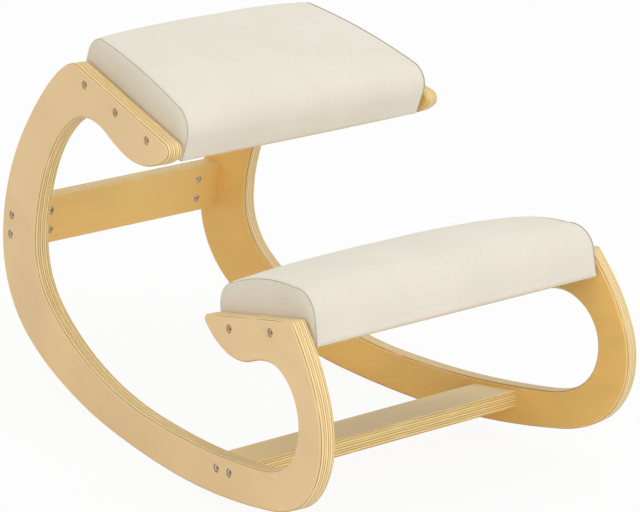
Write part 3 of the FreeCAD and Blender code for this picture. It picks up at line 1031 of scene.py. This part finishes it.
    def seam(self, side: Side) -> bpy.types.Mesh:
        """Sewn edge that shows in the groove between the band and a panel.

        Args:
            side: which panel's seam it is.

        Returns:
            The mesh.
        """
        outline = self.outline()
        out = self.normals(outline)
        path = []
        depth = self.roll * self.seam_sink
        for place, way in zip(outline, out):
            a, b = place[0] - way[0] * depth, place[1] - way[1] * depth
            path.append(self.point(a, b, side.value, self.seam_inset - self.seam_proud))
        points, faces = [], []
        sides = self.seam_sides
        for i, centre in enumerate(path):
            way = (path[(i + 1) % len(path)] - path[i - 1]).normalized()
            first = way.cross(Vector((1, 0, 0))).normalized()
            second = way.cross(first)
            for k in range(sides):
                angle = 2 * math.pi * k / sides
                spoke = first * math.cos(angle) + second * math.sin(angle)
                points.append(centre + spoke * self.seam_radius)
        for i in range(len(path)):
            for k in range(sides):
                j, m = (i + 1) % len(path), (k + 1) % sides
                faces.append((i * sides + k, j * sides + k, j * sides + m, i * sides + m))
        return mesh_of(f"{self.name}_seam_{side.word}", points, faces)

    def dust_cover(self) -> bpy.types.Mesh:
        """Thin cloth under the pad, pulled flat and a little slack in its middle.

        Returns:
            The mesh.
        """
        columns, rows = self.dust_grid
        layers = []
        for level in (0.0, 1.0):
            layer = []
            for j in range(rows + 1):
                for i in range(columns + 1):
                    across, along = 2 * i / columns - 1, j / rows
                    a = self.front + self.dust_inset + (self.rear - self.front - 2 * self.dust_inset) * along
                    slack = (1 - across ** 2) * math.sin(math.pi * along)
                    fold = noise.noise(Vector((across * 9, along * 6, 2.0)))
                    pucker = fold * self.dust_pucker * slack
                    b = self.bottom - self.dust_gap - level * self.dust_thickness - abs(pucker)
                    half, y, z = self.arm.place(a, b)
                    layer.append(Vector((across * (half - self.dust_inset), y, z)))
            layers.append(layer)
        points = layers[0] + layers[1]
        width = columns + 1
        size = len(layers[0])
        faces = []
        for j in range(rows):
            for i in range(columns):
                near = j * width + i
                faces.append((near, near + 1, near + width + 1, near + width))
                faces.append((size + near, size + near + width, size + near + width + 1, size + near + 1))
        rim = list(range(columns)) + [j * width + columns for j in range(rows)]
        rim += [rows * width + i for i in range(columns, 0, -1)] + [j * width for j in range(rows, 0, -1)]
        for i, start in enumerate(rim):
            end = rim[(i + 1) % len(rim)]
            faces.append((start, end, size + end, size + start))
        return mesh_of(f"{self.name}_underside_cloth", points, faces)

    def staples(self) -> bpy.types.Mesh:
        """Staples that hold the dust cover, in a row along each of its edges.

        Returns:
            The mesh.
        """
        crown, wire, inset, pitch = (self.staple_crown, self.staple_wire, self.staple_inset,
                                     self.staple_pitch)
        level = self.bottom - self.dust_gap - self.dust_thickness - wire * 0.4
        start, end = self.front + self.dust_inset + inset, self.rear - self.dust_inset - inset
        places: list[tuple[float, float, bool]] = []
        for a in (start, end):
            reach = self.arm.place(a, level)[0] - self.dust_inset - inset
            count = round(2 * reach / pitch)
            places += [(a, -reach + 2 * reach * (i + 0.5) / count, True) for i in range(count)]
        count = round((end - start) / pitch)
        for i in range(count):
            a = start + (end - start) * (i + 0.5) / count
            reach = self.arm.place(a, level)[0] - self.dust_inset - inset
            places += [(a, -reach, False), (a, reach, False)]
        LOG.info("%s has %d staples", self.name, len(places))
        along, up = self.arm.ways()
        points, faces = [], []
        for a, x, crosswise in places:
            _, y, z = self.arm.place(a, level)
            centre = Vector((x, y, z))
            long_way = Vector((1, 0, 0)) if crosswise else along
            short_way = along if crosswise else Vector((1, 0, 0))
            base = len(points)
            for i in (-1, 1):
                for j in (-1, 1):
                    for k in (-1, 1):
                        points.append(centre + long_way * (i * crown / 2) + short_way * (j * wire / 2)
                                      + up * (k * wire / 2))
            for face in ((0, 1, 3, 2), (4, 6, 7, 5), (0, 4, 5, 1), (2, 3, 7, 6), (0, 2, 6, 4), (1, 5, 7, 3)):
                faces.append(tuple(base + i for i in face))
        return mesh_of(f"{self.name}_staples", points, faces)

    def build(self) -> None:
        """Make the pad's soft pieces and dress the rest."""
        along, up = self.arm.ways()
        cloth = CREAM_CLOTH.material(along, up)
        form = self.cushion()
        self.air.swell(form, self.is_held)
        cushion = add_piece(f"{self.name}_cushion", form, cloth)
        # The side panels take the cloth greyed as painted shade.
        cushion.data.materials.append(PANEL_CLOTH_PAINTED_SHADE.material(along, up))
        subdivision = cushion.modifiers.new("soften", "SUBSURF")
        subdivision.levels = subdivision.render_levels = 1
        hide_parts(f"{self.name}_cover", f"{self.name}_foam")
        for side in Side:
            # The seams take the cloth darkened as painted shade of their groove.
            add_piece(f"{self.name}_seam_{side.word}", self.seam(side), SEAM_CLOTH_PAINTED_SHADE.material(along, up))
        self.build_underside(along, up)
        self.dress_inside(along, up)

    def build_underside(self, along: Vector, up: Vector) -> None:
        """Make the dust cover and its staples.

        Args:
            along: unit vector along the arm.
            up: unit vector square to it.
        """
        cloth = add_piece(f"{self.name}_underside_cloth", self.dust_cover(), DUST_CLOTH.material(along, up))
        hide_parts(f"{self.name}_dust_cover")
        widths = [2 * (self.arm.place(a, self.bottom)[0] - self.dust_inset)
                  for a in (self.front + self.dust_inset, self.rear - self.dust_inset)]
        add_piece(f"{self.name}_staples", self.staples(), ZINC.material())

    def dress_inside(self, along: Vector, up: Vector) -> None:
        """Dress the board and the rails that the cover hides.

        Args:
            along: unit vector along the arm.
            up: unit vector square to it.
        """
        low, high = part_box(f"{self.name}_board")
        origin = (low + high) / 2 - up * BOARD_PLY.thickness / 2
        dress(f"{self.name}_board", BOARD_PLY.material(origin, up, Vector((1, 0, 0))))
        for end in ("front", "rear"):
            low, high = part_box(f"{self.name}_rail_{end}")
            dress(f"{self.name}_rail_{end}", PINE.material((low + high) / 2, along, Vector((1, 0, 0))))
        for side in Side:
            low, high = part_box(f"{self.name}_rail_{side.word}")
            dress(f"{self.name}_rail_{side.word}", PINE.material((low + high) / 2, Vector((1, 0, 0)), along))


@dataclass
class Fasteners:
    """Bolts, insert nuts and barrel nuts."""

    groups: tuple[str, ...] = ("seat_bolts", "knee_bolts", "crossbar_bolts", "stretcher_bolts",
                               "seat_insert_nuts", "knee_insert_nuts", "crossbar_barrel_nuts",
                               "stretcher_barrel_nuts")

    def build(self) -> None:
        """Dress every group in the same plated steel."""
        steel = ZINC.material()
        for node in self.groups:
            dress(node, steel)


@dataclass
class Studio:
    """Pale floor, soft light and the camera."""

    azimuth: float = math.radians(-47.975)
    elevation: float = math.radians(20.348)
    roll: float = math.radians(7.918)
    distance: float = 5.3434
    target: Vector = field(default_factory=lambda: Vector((0.01621, -0.02321, 0.22057)))
    lens: float = 248.58
    floor_reach: float = 9.0
    floor_grey: float = 0.86
    floor_glow: float = 0.92
    world_light: float = 0.80

    def build(self) -> None:
        """Make the floor, the world, the lamps and the camera."""
        self.make_floor()
        self.make_world()
        self.make_lamp("overhead", Vector((0.3, -0.5, 2.6)), 2.4, 10.0)
        self.make_lamp("front_fill", Vector((-1.6, -2.6, 1.3)), 2.0, 11.0)
        self.make_lamp("left_fill", Vector((2.6, -1.2, 1.4)), 2.0, 8.0)
        self.make_lamp("right_fill", Vector((-2.8, -0.6, 1.2)), 2.0, 8.0)
        self.make_camera()

    def make_floor(self) -> None:
        """White floor that keeps a faint shadow."""
        reach = self.floor_reach
        corners = ((-reach, -reach), (reach, -reach), (reach, reach), (-reach, reach))
        mesh = mesh_of("floor", [Vector((x, y, 0)) for x, y in corners], [(0, 1, 2, 3)])
        floor = bpy.data.objects.new("floor", mesh)
        bpy.context.scene.collection.objects.link(floor)
        material = bpy.data.materials.new("white_floor")
        material.use_nodes = True
        tree = material.node_tree
        tree.nodes.clear()
        output = tree.nodes.new("ShaderNodeOutputMaterial")
        diffuse = tree.nodes.new("ShaderNodeBsdfDiffuse")
        diffuse.inputs["Color"].default_value = (*[self.floor_grey] * 3, 1)
        glow = tree.nodes.new("ShaderNodeEmission")
        glow.inputs["Strength"].default_value = 1.0
        seen = tree.nodes.new("ShaderNodeLightPath")
        share = tree.nodes.new("ShaderNodeMath")
        share.operation = "MULTIPLY"
        share.inputs[1].default_value = self.floor_glow
        mixed = tree.nodes.new("ShaderNodeMixShader")
        tree.links.new(seen.outputs["Is Camera Ray"], share.inputs[0])
        tree.links.new(share.outputs[0], mixed.inputs[0])
        tree.links.new(diffuse.outputs[0], mixed.inputs[1])
        tree.links.new(glow.outputs[0], mixed.inputs[2])
        tree.links.new(mixed.outputs[0], output.inputs[0])
        mesh.materials.append(material)

    def make_world(self) -> None:
        """Even light from all round, and plain white where the camera sees past the floor."""
        world = bpy.data.worlds.new("studio")
        bpy.context.scene.world = world
        world.use_nodes = True
        tree = world.node_tree
        background = tree.nodes["Background"]
        background.inputs["Color"].default_value = (1, 1, 1, 1)
        seen = tree.nodes.new("ShaderNodeLightPath")
        strength = tree.nodes.new("ShaderNodeMapRange")
        strength.inputs["To Min"].default_value = self.world_light
        strength.inputs["To Max"].default_value = 1.0
        tree.links.new(seen.outputs["Is Camera Ray"], strength.inputs["Value"])
        tree.links.new(strength.outputs["Result"], background.inputs["Strength"])

    def make_lamp(self, name: str, place: Vector, size: float, power: float) -> None:
        """Add a square soft lamp that faces the chair.

        Args:
            name: the lamp's name.
            place: where it hangs.
            size: its side's length.
            power: its power in watts.
        """
        data = bpy.data.lights.new(name, "AREA")
        data.size = size
        data.energy = power
        lamp = bpy.data.objects.new(name, data)
        lamp.location = place
        lamp.rotation_mode = "QUATERNION"
        lamp.rotation_quaternion = (self.target - place).to_track_quat("-Z", "Y")
        bpy.context.scene.collection.objects.link(lamp)

    def make_camera(self) -> None:
        """Add the camera at the photograph's angle on the chair."""
        data = bpy.data.cameras.new("camera")
        data.lens = self.lens
        camera = bpy.data.objects.new("camera", data)
        bpy.context.scene.collection.objects.link(camera)
        back = Vector((math.sin(self.azimuth) * math.cos(self.elevation),
                       -math.cos(self.azimuth) * math.cos(self.elevation), math.sin(self.elevation)))
        camera.location = self.target + back * self.distance
        camera.rotation_mode = "QUATERNION"
        level = (-back).to_track_quat("-Z", "Y")
        camera.rotation_quaternion = level @ Quaternion((0, 0, 1), self.roll)
        bpy.context.scene.camera = camera


SEAT = Pad("seat", Arm(301.7 * MM, 402.3 * MM, math.radians(20.0)), front=-6 * MM, rear=211 * MM,
           bottom=-28 * MM, shoulder=33.5 * MM, arch=4 * MM, front_radius=30 * MM, rear_radius=28 * MM,
           crown=5 * MM, seam_inset=7.5 * MM,
           creases=[Crease(-0.180, 0.060, math.radians(55), 0.014, 1.3 * MM, 2.6 * MM),
                    Crease(-0.168, 0.072, math.radians(55), 0.016, 1.3 * MM, 2.6 * MM),
                    Crease(-0.174, 0.088, math.radians(-40), 0.016, 1.1 * MM, 2.6 * MM),
                    Crease(-0.158, 0.078, math.radians(-40), 0.014, 1.0 * MM, 2.6 * MM)])
KNEE = Pad("knee", Arm(59.5 * MM, 236.8 * MM, math.radians(-8.1)), front=-14 * MM, rear=171 * MM,
           bottom=-34 * MM, shoulder=35 * MM, arch=7 * MM, front_radius=34 * MM, rear_radius=32 * MM,
           crown=4 * MM, seam_inset=6 * MM)


def main() -> None:
    """Build the chair and its studio."""
    logging.basicConfig(level=logging.INFO, format="%(name)s: %(message)s")
    for part in (SideFrames(), CrossMembers(), SEAT, KNEE, Fasteners(), Studio()):
        LOG.info("building %s", type(part).__name__)
        part.build()
    bpy.context.scene.view_settings.view_transform = "Standard"


if __name__ == "__main__":
    main()
